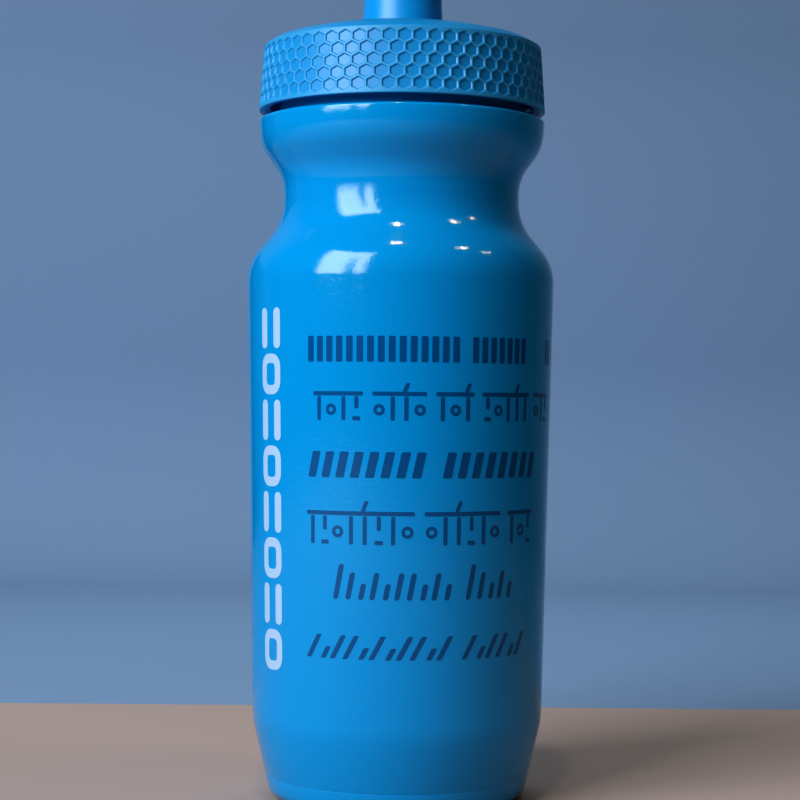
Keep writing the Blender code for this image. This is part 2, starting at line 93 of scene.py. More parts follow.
# Lid.
LID_BORE_RADIUS = NECK_RADIUS + THREAD_DEPTH + 0.6 * MM
LID_RADIUS = LID_BORE_RADIUS + 2.75 * MM
LID_TAPER = 1.07 * MM
CEILING = GASKET_HIGH + CONTACT
LID_PLATE = 2.05 * MM
DOME_EDGE = CEILING + LID_PLATE
SHOULDER_CORNER = DOME_EDGE - 1.5 * MM
DOME_CREST = DOME_EDGE + 2.55 * MM
TOWER_ROOT = DOME_EDGE + 2.85 * MM
TOWER_TOP = SLEEVE_LOW - CONTACT
TOWER_RADIUS = 9.35 * MM
TUBE_RADIUS = 7.0 * MM
TUBE_BORE_RADIUS = 4.4 * MM
VALVE_RADIUS = 7.1 * MM
PLUG_RADIUS = 2.6 * MM

# Honeycomb grip on the lid's skirt.
CELLS_ROUND = 60
CELL_ROWS = 5
ROW_PITCH = 2.75 * MM
CELL_LOWEST = LID_EDGE + 0.47 * MM
CELL_TURN = -0.55 * DEGREE
POCKET_STEPS = ((0.14, 0.0), (0.07, -0.04), (0.15, -0.25), (0.09, -0.08))
RIM_HEIGHT = 0.42 * MM
RIDGE_CREST = 0.05 * MM
RIDGE_FOOT = 0.20 * MM

# Inside of the lid and its spout.
DOME_STEP = 2.45 * MM
CREST_SHARE = 0.55
GASKET_WIDTH = 4.7 * MM
RIB_DROP = 2.3 * MM
RIB_WIDTH = 1.2 * MM
SEAL_GROOVE_HEIGHT = 2.2 * MM
SEAL_GROOVE_DEPTH = 1.3 * MM
CATCH_DROP = 1.0 * MM
TUBE_STEP = 1.0 * MM
CHAMBER_ROOF = 1.8 * MM
SPOKES = 3
SPOKE_WIDTH = 1.5 * MM
SPOKE_HEIGHT = 2.0 * MM

# Valve and retainer.
VALVE_RIM = 1.9 * MM
VALVE_SLOPE = 0.7 * MM
VALVE_HALF_SKIN = 0.35 * MM
SLIT_SIZE = (7.2 * MM, 0.2 * MM, 3.0 * MM)
SLIT_TURNS = (22.5 * DEGREE, 112.5 * DEGREE)
RETAINER_FLANGE = 2.1 * MM
RETAINER_SEAT = 1.0 * MM
SEAL_SIDES = 20

# Nozzle. The sleeve slides on the tube with a small gap.
SLIDE_GAP = 0.4 * MM
SLEEVE_WALL = 1.3 * MM
SLEEVE_FLANGE = 2.5 * MM
SLEEVE_FLANGE_HEIGHT = 1.2 * MM
SLEEVE_LIP_HEIGHT = 1.4 * MM
SLEEVE_CROWN = 2.0 * MM
MOUTH_WAIST = 1.3 * MM
MOUTH_HEAD = 2.4 * MM
MOUTH_FOOT = 2.8 * MM
MOUTH_HEAD_HEIGHT = 6.5 * MM
MOUTH_FOOT_HEIGHT = 2.5 * MM
MOUTH_NECKING = 2.4 * MM
MOUTH_HOLE = 3.6 * MM
AXIS_HOLE = 0.4 * MM

# Print on the barrel, in two inks.
PRINT_RADIUS = 36.6 * MM
INK_LIFT = 0.02 * MM
INK_THICKNESS = 0.03 * MM
LIGHT_COLUMN_LOW = 31.8 * MM
LIGHT_COLUMN_TOP = 117.6 * MM
LIGHT_COLUMN_LINKS = 8
LIGHT_COLUMN_ANGLE = -55.1
LINK_GAP = 1.2 * MM
WRAP_STEP = 1.2 * MM

# How finely round pieces are divided.
BODY_SIDES = 160
LID_SIDES = 2 * CELLS_ROUND
SMALL_SIDES = 96
CHORD_ERROR = 0.012 * MM


# Ways of working that every piece uses.

def take(piece):
    """Selects one object alone, ready for the next operator."""
    take_none()
    piece.select_set(True)
    bpy.context.view_layer.objects.active = piece


def take_none():
    if bpy.context.mode != "OBJECT":
        bpy.ops.object.mode_set(mode="OBJECT")
    bpy.ops.object.select_all(action="DESELECT")


def fix_place(piece):
    """Moves an object's place, turn and scale into its mesh."""
    take(piece)
    bpy.ops.object.transform_apply(location=True, rotation=True, scale=True)


def edit(piece, kind="VERT"):
    """Opens edit mode with everything selected."""
    take(piece)
    bpy.ops.object.mode_set(mode="EDIT")
    bpy.ops.mesh.select_mode(type=kind)
    bpy.ops.mesh.select_all(action="SELECT")


def finish_edit():
    bpy.ops.object.mode_set(mode="OBJECT")


def pick(piece, kind, test):
    """In edit mode, selects only the vertices, edges or faces that pass a test."""
    bpy.ops.mesh.select_mode(type=kind)
    bpy.ops.mesh.select_all(action="DESELECT")
    mesh = bmesh.from_edit_mesh(piece.data)
    for element in {"VERT": mesh.verts, "EDGE": mesh.edges, "FACE": mesh.faces}[kind]:
        element.select_set(test(element))
    mesh.select_flush_mode()
    bmesh.update_edit_mesh(piece.data)


def named(name):
    piece = bpy.context.object
    piece.name = name
    return piece


def add_modifier(piece, kind, **settings):
    modifier = piece.modifiers.new(kind.lower(), kind)
    for setting, value in settings.items():
        setattr(modifier, setting, value)
    return modifier


def apply_modifier(piece, kind, **settings):
    take(piece)
    modifier = add_modifier(piece, kind, **settings)
    bpy.ops.object.modifier_apply(modifier=modifier.name)


def copy_of(piece, move):
    """A copy with a mesh of its own, moved."""
    made = piece.copy()
    made.data = piece.data.copy()
    bpy.context.scene.collection.objects.link(made)
    made.location = move
    fix_place(made)
    return made


def join(name, pieces):
    take(pieces[0])
    for piece in pieces[1:]:
        piece.select_set(True)
    bpy.ops.object.join()
    return named(name)


def combine(piece, tool, operation):
    """Joins or cuts a piece with a tool, and clears the tool away."""
    apply_modifier(piece, "BOOLEAN", operation=operation, solver="EXACT", object=tool)
    bpy.data.objects.remove(tool)


def weld(piece):
    """Closes a piece's seams and turns its faces outwards."""
    edit(piece)
    bpy.ops.mesh.remove_doubles(threshold=WELD)
    bpy.ops.mesh.normals_make_consistent(inside=False)
    finish_edit()


def smooth(piece, degrees=32):
    take(piece)
    bpy.ops.object.shade_smooth_by_angle(angle=degrees * DEGREE)


def rounded(corners, closed=False):
    """The outline through corners of (radius, height, fillet), with an arc at each fillet."""
    count = len(corners)
    points = [Vector(corner[:2]) for corner in corners]
    outline = []
    for index, corner in enumerate(corners):
        here = points[index]
        at_end = not closed and index in (0, count - 1)
        if at_end or corner[2] == 0.0:
            outline.append(here)
            continue
        back = points[index - 1] - here
        ahead = points[(index + 1) % count] - here
        half_angle = back.angle(ahead) / 2
        reach = min(corner[2] / math.tan(half_angle), 0.49 * back.length, 0.49 * ahead.length)
        radius = reach * math.tan(half_angle)
        towards = (back.normalized() + ahead.normalized()).normalized()
        centre = here + towards * radius / math.sin(half_angle)
        first = here + back.normalized() * reach - centre
        last = here + ahead.normalized() * reach - centre
        sweep = -first.angle_signed(last)
        step = 2 * math.acos(1 - CHORD_ERROR / max(radius, CHORD_ERROR))
        chords = max(1, math.ceil(abs(sweep) / step))
        for number in range(chords + 1):
            turn = sweep * number / chords
            outline.append(centre + Vector((
                first.x * math.cos(turn) - first.y * math.sin(turn),
                first.x * math.sin(turn) + first.y * math.cos(turn),
            )))
    return outline


def moved_in(corners, distance):
    """The same corners on a wall's inner face. The outline runs down its outer side."""
    moved = []
    last = len(corners) - 1
    for index, (radius, height, fillet) in enumerate(corners):
        here = Vector((radius, height))
        arriving = here - Vector(corners[index - 1][:2]) if index > 0 else None
        leaving = Vector(corners[index + 1][:2]) - here if index < last else None
        arriving = (arriving or leaving).normalized()
        leaving = (leaving or arriving).normalized()
        inward = Vector((arriving.y + leaving.y, -arriving.x - leaving.x)).normalized()
        stretch = distance / inward.dot(Vector((arriving.y, -arriving.x)))
        convex = arriving.x * leaving.y - arriving.y * leaving.x < 0
        inner_fillet = max(fillet - distance, fillet / 2) if convex else fillet + distance
        moved.append((*(here + inward * stretch), inner_fillet if fillet else 0.0))
    return moved


def pull_ring(outline):
    """Extrudes the selected ring along an outline, from its first point on."""
    for (radius, height), (next_radius, next_height) in zip(outline, outline[1:]):
        rise = (0.0, 0.0, next_height - height)
        bpy.ops.mesh.extrude_edges_move(TRANSFORM_OT_translate={"value": rise})
        growth = next_radius / radius
        bpy.ops.transform.resize(value=(growth, growth, 1.0),
                                 center_override=(0.0, 0.0, next_height))


def turned(name, outline, sides, closed=True):
    """A piece turned about the Z axis. Where it isn't closed, its two end rings are filled flat."""
    take_none()
    radius, height = outline[0]
    bpy.ops.mesh.primitive_circle_add(vertices=sides, radius=radius, location=(0.0, 0.0, height))
    piece = named(name)
    fix_place(piece)
    edit(piece, "EDGE")
    pull_ring([*outline, outline[0]] if closed else outline)
    if not closed:
        bpy.ops.mesh.edge_face_add()
        pick(piece, "EDGE", lambda edge: edge.is_boundary)
        bpy.ops.mesh.edge_face_add()
    finish_edit()
    weld(piece)
    return piece


def box(name, size, place, turn=0.0):
    take_none()
    bpy.ops.mesh.primitive_cube_add(size=1.0, location=place, rotation=(0.0, 0.0, turn))
    piece = named(name)
    piece.scale = size
    fix_place(piece)
    return piece


# Materials.

def new_group(name, inputs, outputs):
    """A shader node group with named float inputs and outputs."""
    group = bpy.data.node_groups.new(name, "ShaderNodeTree")
    for label, value in inputs.items():
        socket = group.interface.new_socket(label, in_out="INPUT", socket_type="NodeSocketFloat")
        socket.default_value = value
    for label in outputs:
        group.interface.new_socket(label, in_out="OUTPUT", socket_type="NodeSocketFloat")
    return group, group.nodes.new("NodeGroupInput"), group.nodes.new("NodeGroupOutput")


def math_node(tree, operation, first, second, clamp=False):
    node = tree.nodes.new("ShaderNodeMath")
    node.operation = operation
    node.use_clamp = clamp
    for socket, value in zip(node.inputs, (first, second)):
        if isinstance(value, (int, float)):
            socket.default_value = value
        else:
            tree.links.new(value, socket)
    return node.outputs[0]


def noise(tree, vector, scale, detail=2.0, roughness=0.5, stretch=None):
    """A noise texture on object coordinates. The scale is in waves per metre."""
    if stretch:
        mapping = tree.nodes.new("ShaderNodeMapping")
        mapping.inputs["Scale"].default_value = stretch
        tree.links.new(vector, mapping.inputs["Vector"])
        vector = mapping.outputs["Vector"]
    node = tree.nodes.new("ShaderNodeTexNoise")
    tree.links.new(vector, node.inputs["Vector"])
    if isinstance(scale, (int, float)):
        node.inputs["Scale"].default_value = scale
    else:
        tree.links.new(scale, node.inputs["Scale"])
    node.inputs["Detail"].default_value = detail
    node.inputs["Roughness"].default_value = roughness
    return node.outputs["Fac"]


def spread(tree, value, low, high, to_low, to_high):
    node = tree.nodes.new("ShaderNodeMapRange")
    tree.links.new(value, node.inputs["Value"])
    ends = {"From Min": low, "From Max": high, "To Min": to_low, "To Max": to_high}
    for label, number in ends.items():
        node.inputs[label].default_value = number
    return node.outputs["Result"]


def moulded_grain():
    """Surface height of moulded plastic: a slow orange peel with a fine grain on it."""
    inputs = {"Peel Scale": 900.0, "Peel": 1.0, "Grain Scale": 4500.0, "Grain": 0.4}
    group, given, result = new_group("moulded_grain", inputs, ["Height"])
    place = group.nodes.new("ShaderNodeTexCoord").outputs["Object"]
    peel = noise(group, place, given.outputs["Peel Scale"], detail=1.0)
    grain = noise(group, place, given.outputs["Grain Scale"], detail=2.0, roughness=0.6)
    height = math_node(
        group, "ADD",
        math_node(group, "MULTIPLY", peel, given.outputs["Peel"]),
        math_node(group, "MULTIPLY", grain, given.outputs["Grain"]))
    group.links.new(height, result.inputs["Height"])
    return group


def handling():
    """Where hands and cages have rubbed: a soft smear and a few fine scratches, from 0 to 1."""
    group, given, result = new_group("handling", {"Scratches": 0.5}, ["Smear", "Scratch"])
    place = group.nodes.new("ShaderNodeTexCoord").outputs["Object"]
    clouds = noise(group, place, 28.0, detail=4.0, roughness=0.6)
    group.links.new(spread(group, clouds, 0.35, 0.75, 0.0, 1.0), result.inputs["Smear"])
    upright, level = (60.0, 60.0, 3.5), (22.0, 22.0, 95.0)
    lines = []
    for stretch in (upright, level):
        streak = noise(group, place, 14.0, detail=1.0, stretch=stretch)
        lines.append(spread(group, streak, 0.735, 0.76, 0.0, 1.0))
    patch = spread(group, noise(group, place, 45.0, detail=1.0), 0.5, 0.62, 0.0, 1.0)
    either = math_node(group, "MAXIMUM", lines[0], lines[1])
    in_patches = math_node(group, "MULTIPLY", either, patch)
    marked = math_node(group, "MULTIPLY", in_patches, given.outputs["Scratches"])
    group.links.new(marked, result.inputs["Scratch"])
    return group


def painted_ridge_sheen():
    """1 on the skirt's outer skin, on the ridge tops, and 0 in the pockets: a mask for painted
    sheen, the ridge tops coloured lighter where they catch light.
    """
    group, given, result = new_group("painted_ridge_sheen", {"Amount": 0.8}, ["Ridge"])
    place = group.nodes.new("ShaderNodeTexCoord").outputs["Object"]
    axes = group.nodes.new("ShaderNodeSeparateXYZ")
    group.links.new(place, axes.inputs["Vector"])
    squares = [
        math_node(group, "MULTIPLY", axes.outputs[axis], axes.outputs[axis]) for axis in "XY"
    ]
    radius = math_node(group, "SQRT", math_node(group, "ADD", *squares), 0.0)
    narrowing = LID_TAPER / (SHOULDER_CORNER - LID_EDGE)
    height = math_node(group, "SUBTRACT", axes.outputs["Z"], LID_EDGE)
    level = math_node(group, "MULTIPLY", height, narrowing)
    ridge = spread(group, math_node(group, "ADD", radius, level),
                   LID_RADIUS - RIDGE_FOOT, LID_RADIUS - RIDGE_CREST, 0.0, 1.0)
    amount = math_node(group, "MULTIPLY", ridge, given.outputs["Amount"])
    group.links.new(amount, result.inputs["Ridge"])
    return group


def plastic(name, colour, roughness, wear_and_sheen, worn_roughness, grain, scratches, bump, ridges=0.0):
    """A moulded finish. Colours are linear; grain is (peel scale, peel, grain scale, grain)."""
    material = bpy.data.materials.new(name)
    material.use_nodes = True
    tree = material.node_tree
    shader = tree.nodes["Principled BSDF"]

    rubbed = tree.nodes.new("ShaderNodeGroup")
    rubbed.node_tree = HANDLING
    rubbed.inputs["Scratches"].default_value = scratches
    mix = tree.nodes.new("ShaderNodeMix")
    mix.data_type = "RGBA"
    mix.inputs["A"].default_value = (*colour, 1.0)
    mix.inputs["B"].default_value = (*wear_and_sheen, 1.0)
    share = math_node(tree, "ADD", math_node(tree, "MULTIPLY", rubbed.outputs["Smear"], 0.35),
                      rubbed.outputs["Scratch"], clamp=True)
    # The second colour marks real wear from the smear and scratches; on the lid it also goes on the
    # ridge tops as a painted sheen, lighter where they catch light.
    if ridges:
        ridge_sheen = tree.nodes.new("ShaderNodeGroup")
        ridge_sheen.node_tree = PAINTED_RIDGE_SHEEN
        ridge_sheen.inputs["Amount"].default_value = ridges
        share = math_node(tree, "MAXIMUM", share, ridge_sheen.outputs["Ridge"])
    tree.links.new(share, mix.inputs["Factor"])
    tree.links.new(mix.outputs["Result"], shader.inputs["Base Color"])
    rise = math_node(tree, "MULTIPLY", share, worn_roughness - roughness)
    rough = math_node(tree, "ADD", rise, roughness)
    tree.links.new(rough, shader.inputs["Roughness"])

    skin = tree.nodes.new("ShaderNodeGroup")
    skin.node_tree = MOULDED_GRAIN
    for label, value in zip(("Peel Scale", "Peel", "Grain Scale", "Grain"), grain):
        skin.inputs[label].default_value = value
    relief = tree.nodes.new("ShaderNodeBump")
    relief.inputs["Strength"].default_value = 1.0
    relief.inputs["Distance"].default_value = bump
    height = math_node(tree, "SUBTRACT", skin.outputs["Height"], rubbed.outputs["Scratch"])
    tree.links.new(height, relief.inputs["Height"])
    tree.links.new(relief.outputs["Normal"], shader.inputs["Normal"])
    return material


MOULDED_GRAIN = moulded_grain()
HANDLING = handling()
PAINTED_RIDGE_SHEEN = painted_ridge_sheen()

AZURE = (0.0003, 0.297, 0.615)
body_plastic = plastic("body_plastic", AZURE, 0.09, (0.001, 0.305, 0.62), 0.16,
                       (600.0, 0.7, 1500.0, 1.0), 0.35, 0.026 * MM)
# The lid's second colour is real wear, and also a painted sheen on the ridge tops.
lid_plastic = plastic("lid_plastic", (0.003, 0.265, 0.56), 0.36, (0.040, 0.330, 0.60), 0.48,
                      (2600.0, 0.6, 9000.0, 0.8), 0.3, 0.006 * MM, ridges=0.8)
tower_plastic = plastic("tower_plastic", (0.002, 0.30, 0.62), 0.34, (0.01, 0.32, 0.63), 0.42,
                        (1500.0, 0.8, 6000.0, 0.4), 0.3, 0.004 * MM)
nozzle_plastic = plastic("nozzle_plastic", (0.001, 0.26, 0.62), 0.25, (0.01, 0.28, 0.64), 0.35,
                         (1500.0, 0.8, 6000.0, 0.4), 0.2, 0.004 * MM)
mouth_rubber = plastic("mouth_rubber", (0.002, 0.16, 0.40), 0.55, (0.01, 0.19, 0.44), 0.68,
                       (2200.0, 0.5, 9000.0, 1.0), 0.15, 0.008 * MM)
seal_rubber = plastic("seal_rubber", (0.60, 0.64, 0.66), 0.42, (0.52, 0.56, 0.58), 0.55,
                      (1800.0, 0.6, 7000.0, 0.6), 0.1, 0.004 * MM)
valve_rubber = plastic("valve_rubber", (0.68, 0.72, 0.74), 0.32, (0.60, 0.64, 0.66), 0.45,
                       (1800.0, 0.6, 7000.0, 0.5), 0.1, 0.004 * MM)
ink_light = plastic("ink_light", (0.36, 0.56, 0.74), 0.22, (0.30, 0.52, 0.72), 0.32,
                    (1100.0, 1.0, 5200.0, 0.6), 0.5, 0.004 * MM)
ink_dark = plastic("ink_dark", (0.0006, 0.095, 0.25), 0.14, (0.001, 0.12, 0.29), 0.24,
                   (1100.0, 1.0, 5200.0, 0.6), 0.4, 0.004 * MM)


def dress(piece, material, body, nodes=()):
    """Gives a finished piece its material, its smooth shading and its body, and hides the imported
    parts that it replaces.
    """
    if not piece.data.materials:
        piece.data.materials.append(material)
    smooth(piece)
    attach(piece, body)
    if nodes:
        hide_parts(*nodes)


# Bottle.

def thread(name, wall_radius, outward, start, turns):
    """A helical ridge that stands out of a wall, or into the bore where outward is -1."""
    take_none()
    middle = wall_radius + outward * (THREAD_DEPTH - THREAD_SINK) / 2
    bpy.ops.mesh.primitive_plane_add(size=1.0, location=(middle, 0.0, start),
                                     rotation=(math.pi / 2, 0.0, 0.0))
    ridge = named(name)
    ridge.scale = (THREAD_DEPTH + THREAD_SINK, THREAD_ROOT_WIDTH, 1.0)
    fix_place(ridge)
    edit(ridge, "FACE")
    bpy.ops.mesh.delete(type="ONLY_FACE")
    pick(ridge, "VERT", lambda vert: (vert.co.x - middle) * outward > 0)
    bpy.ops.transform.resize(value=(1.0, 1.0, THREAD_CREST_WIDTH / THREAD_ROOT_WIDTH),
                             center_override=(middle, 0.0, start))
    finish_edit()
    steps = round(LID_SIDES * turns)
    apply_modifier(ridge, "SCREW", axis="Z", angle=math.tau * turns,
                   screw_offset=THREAD_PITCH * turns,
                   steps=steps, render_steps=steps, use_merge_vertices=False)
    edit(ridge)
    bpy.ops.mesh.fill_holes(sides=4)
    bpy.ops.mesh.normals_make_consistent(inside=False)
    finish_edit()
    return ridge


def body_corners():
    """The bottle's outer corners, from its lip down to the middle of its push-up."""
    slope = (BARREL_LOW_RADIUS - FOOT_RADIUS) / BASE_TAPER_TOP
    mould_line = FOOT_RADIUS + slope * MOULD_LINE_HEIGHT
    half = MOULD_LINE_WIDTH / 2
    return [
        (NECK_RADIUS, LIP, 0.0),
        (NECK_RADIUS, COLLAR_TOP, 1.0 * MM),
        (LID_RADIUS, COLLAR_TOP, 0.8 * MM),
        (LID_RADIUS - 0.6 * MM, COLLAR_LOW, 10.5 * MM),
        (GROOVE_RADIUS, GROOVE_HIGH, 11.0 * MM),
        (GROOVE_RADIUS, GROOVE_LOW, 13.5 * MM),
        (BARREL_RADIUS, BARREL_TOP, 12.5 * MM),
        (BARREL_LOW_RADIUS, BASE_TAPER_TOP, 20.0 * MM),
        (mould_line + slope * half, MOULD_LINE_HEIGHT + half, 0.1 * MM),
        (mould_line - MOULD_LINE_DEPTH, MOULD_LINE_HEIGHT, 0.1 * MM),
        (mould_line - slope * half, MOULD_LINE_HEIGHT - half, 0.1 * MM),
        (FOOT_RADIUS, 0.0, 3.5 * MM),
        (FOOT_INNER_RADIUS, 0.0, 1.5 * MM),
        (PUSH_UP_RADIUS, PUSH_UP, 1.5 * MM),
        (PUSH_UP_RADIUS / 2, PUSH_UP + 0.35 * MM, 12.0 * MM),
        (PUSH_UP_RADIUS / 8, PUSH_UP + 0.45 * MM, 0.0),
    ]


def make_bottle():
    corners = body_corners()
    inner = [
        corner for corner in corners if abs(corner[1] - MOULD_LINE_HEIGHT) > MOULD_LINE_WIDTH
    ]
    outline = rounded(moved_in(inner, WALL))[::-1] + rounded(corners)
    body = turned("squeeze_body", outline, BODY_SIDES, closed=False)
    ridge = thread("neck_thread", NECK_RADIUS, 1.0, NECK_THREAD_START, NECK_THREAD_TURNS)
    combine(body, ridge, "UNION")
    dress(body, body_plastic, "bottle", ["bottle_body"])
    return body


# Printed marks: plain bars, rings and slants in the places of the print, with no letters.

def rounded_bar(width, height, place, lean=0.0, corner=0.35):
    """A flat bar with rounded corners, facing -Y. Lean shifts its top, as in a slanted stroke."""
    take_none()
    bpy.ops.mesh.primitive_plane_add(size=1.0, rotation=(math.pi / 2, 0.0, 0.0))
    bar = named("bar")
    bar.scale = (width, height, 1.0)
    fix_place(bar)
    edit(bar, "VERT")
    offset = min(corner * MM, 0.49 * width, 0.49 * height)
    bpy.ops.mesh.bevel(affect="VERTICES", offset=offset, segments=4)
    if lean:
        mesh = bmesh.from_edit_mesh(bar.data)
        for vert in mesh.verts:
            vert.co.x += lean * vert.co.z
        bmesh.update_edit_mesh(bar.data)
    finish_edit()
    bar.location = (place[0], 0.0, place[1])
    fix_place(bar)
    return bar


def open_middle(shape, width):
    """Leaves only a rim of a flat shape."""
    edit(shape, "FACE")
    bpy.ops.mesh.inset(thickness=width, depth=0.0)
    bpy.ops.mesh.delete(type="FACE")
    finish_edit()
    return shape


def disc(radius, place, sides=24):
    take_none()
    bpy.ops.mesh.primitive_circle_add(vertices=sides, radius=radius, fill_type="NGON",
                                      location=(place[0], 0.0, place[1]),
                                      rotation=(math.pi / 2, 0.0, 0.0))
    made = named("disc")
    fix_place(made)
    return made


def print_marks(name, shapes, start_angle, material):
    """Wraps flat marks round the body, from an angle on, and gives them the thickness of ink."""
    marks = join(name, shapes)
    low = min(vert.co.x for vert in marks.data.vertices)
    high = max(vert.co.x for vert in marks.data.vertices)
    edit(marks, "FACE")
    for number in range(1, math.ceil((high - low) / WRAP_STEP)):
        cut = low + number * WRAP_STEP
        bpy.ops.mesh.select_all(action="SELECT")
        bpy.ops.mesh.bisect(plane_co=(cut, 0.0, 0.0), plane_no=(1.0, 0.0, 0.0))
    finish_edit()
    middle = (low + high) / 2
    marks.location = (-middle, 0.0, 0.0)
    fix_place(marks)
    apply_modifier(marks, "SIMPLE_DEFORM", deform_method="BEND", deform_axis="Z",
                   angle=(high - low) / PRINT_RADIUS)
    marks.location = (0.0, -PRINT_RADIUS, 0.0)
    fix_place(marks)
    marks.rotation_euler = (0.0, 0.0, start_angle * DEGREE + middle / PRINT_RADIUS)
    fix_place(marks)
    apply_modifier(marks, "SHRINKWRAP", target=body_piece, wrap_method="NEAREST_SURFACEPOINT",
                   wrap_mode="ABOVE_SURFACE", offset=INK_LIFT)
    apply_modifier(marks, "SOLIDIFY", thickness=INK_THICKNESS, offset=1.0)
    edit(marks)
    bpy.ops.mesh.normals_make_consistent(inside=False)
    finish_edit()
    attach(marks, "bottle")
    marks.data.materials.clear()
    marks.data.materials.append(material)
    smooth(marks)
    return marks


def light_column():
    """A tall column of link shapes: by turns a rounded rim and two upright bars side by side."""
    shapes = []
    height = (LIGHT_COLUMN_TOP - LIGHT_COLUMN_LOW) / LIGHT_COLUMN_LINKS
    for number in range(LIGHT_COLUMN_LINKS):
        middle = LIGHT_COLUMN_LOW + (number + 0.5) * height
        if number % 2:
            for side in (-1, 1):
                place = (side * 2.65 * MM, middle)
                shapes.append(rounded_bar(2.6 * MM, height - LINK_GAP, place, corner=1.2))
        else:
            rim = rounded_bar(7.9 * MM, height - LINK_GAP, (0.0, middle), corner=3.0)
            shapes.append(open_middle(rim, 2.2 * MM))
    return shapes


def bar_row(low, high, width, pattern, pitch, lean=0.0, corner=0.35):
    """Bars in a row. Each number in the pattern is a bar's share of the height; 0 is a space."""
    shapes = []
    for number, share in enumerate(pattern):
        if share:
            place = ((number + 0.5) * pitch, low + (high - low) * share / 2)
            shapes.append(rounded_bar(width, (high - low) * share, place, lean, corner))
    return shapes


def hung_row(low, high, headline, stroke, groups, pitch):
    """Small shapes that hang from a line, in groups.

    In a group i is a bar, u a bar that also stands above the line, c a short bar over a dash
    and o a ring.
    """
    shapes = []
    drop = headline - stroke / 2 - 0.15 * MM
    length = drop - low
    x = 0.0
    for group in groups:
        width = len(group) * pitch
        shapes.append(rounded_bar(width, stroke, (x + width / 2, headline), corner=0.3))
        for number, kind in enumerate(group):
            place = x + (number + 0.5) * pitch
            if kind == "i":
                shapes.append(rounded_bar(stroke, length, (place, (drop + low) / 2), corner=0.3))
            elif kind == "c":
                short = (place, drop - length * 0.25)
                shapes.append(rounded_bar(stroke, length * 0.5, short, corner=0.3))
                dash = (place, low + stroke / 2)
                shapes.append(rounded_bar(pitch * 0.6, stroke, dash, corner=0.3))
            elif kind == "o":
                ring = disc(min(length * 0.45, pitch * 0.42), (place, low + length * 0.45))
                shapes.append(open_middle(ring, stroke * 0.8))
            elif kind == "u":
                above = (place, (high + headline) / 2 + stroke / 2)
                shapes.append(rounded_bar(stroke, high - headline, above, 0.4, 0.3))
                shapes.append(rounded_bar(stroke, length, (place, (drop + low) / 2), corner=0.3))
        x += width + pitch * 0.7
    return shapes


BARS_1 = [1] * 15 + [0] + [1] * 7 + [0] * 4 + [1] * 2
SLANTS_1 = [1] * 8 + [0] + [1] * 8
DOTS_1 = [1.3, 1, 0.6, 1, 0.6, 1, 1, 0.6, 1, 0.6, 0, 1.3, 1, 0.6, 1, 0.6]
SLANTS_2 = [1, 0.5, 1, 1, 0.5, 1, 0.5, 1, 1, 0.5, 1, 0, 1, 0.5, 1, 1, 0.5, 1]
HUNG_1 = ["ioic", "oiuo", "iou", "coiui", "oic"]
HUNG_2 = ["icoiucio", "oiucio", "ioc"]


def dark_rows():
    """The six dark rows from the top down: a name, the marks and the angle that they start at."""
    return [
        ("bars_1", bar_row(104.3 * MM, 110.2 * MM, 1.55 * MM, BARS_1, 2.46 * MM), -35.5),
        ("hung_1", hung_row(91.0 * MM, 99.1 * MM, 97.1 * MM, 0.95 * MM, HUNG_1, 3.1 * MM), -32.5),
        ("slants_1", bar_row(78.0 * MM, 83.9 * MM, 2.1 * MM, SLANTS_1, 3.6 * MM, lean=0.22), -35.0),
        ("hung_2", hung_row(62.8 * MM, 72.3 * MM, 69.9 * MM, 0.95 * MM, HUNG_2, 3.3 * MM), -35.5),
        ("dots_1", bar_row(50.3 * MM, 56.5 * MM, 1.25 * MM, DOTS_1, 2.9 * MM, lean=0.2,
                           corner=0.6), -24.5),
        ("slants_2", bar_row(36.7 * MM, 42.1 * MM, 1.3 * MM, SLANTS_2, 3.2 * MM, lean=0.55), -35.0),
    ]


def make_print():
    for side, turn in (("front", 0.0), ("back", 180.0)):
        start = turn + LIGHT_COLUMN_ANGLE
        print_marks(f"print_light_column_{side}", light_column(), start, ink_light)
        for name, shapes, start in dark_rows():
            print_marks(f"print_{name}_{side}", shapes, turn + start, ink_dark)


# Lid.

def skirt_radius(height):
    return LID_RADIUS - LID_TAPER * (height - LID_EDGE) / (SHOULDER_CORNER - LID_EDGE)


def cell(pitch):
    """One honeycomb cell, flat and facing -Y: half of its ridges, sloped walls and a floor."""
    take_none()
    corner_radius = pitch / math.sqrt(3)
    squash = ROW_PITCH / (1.5 * corner_radius)
    bpy.ops.mesh.primitive_circle_add(vertices=6, radius=corner_radius, fill_type="NGON",
                                      rotation=(math.pi / 2, 0.0, 0.0))
    tile = named("cell")
    tile.scale = (1.0, squash, 1.0)
    fix_place(tile)
    edit(tile, "FACE")
    for thickness, depth in POCKET_STEPS:
        bpy.ops.mesh.inset(thickness=thickness * MM, depth=depth * MM)
    finish_edit()
    return tile


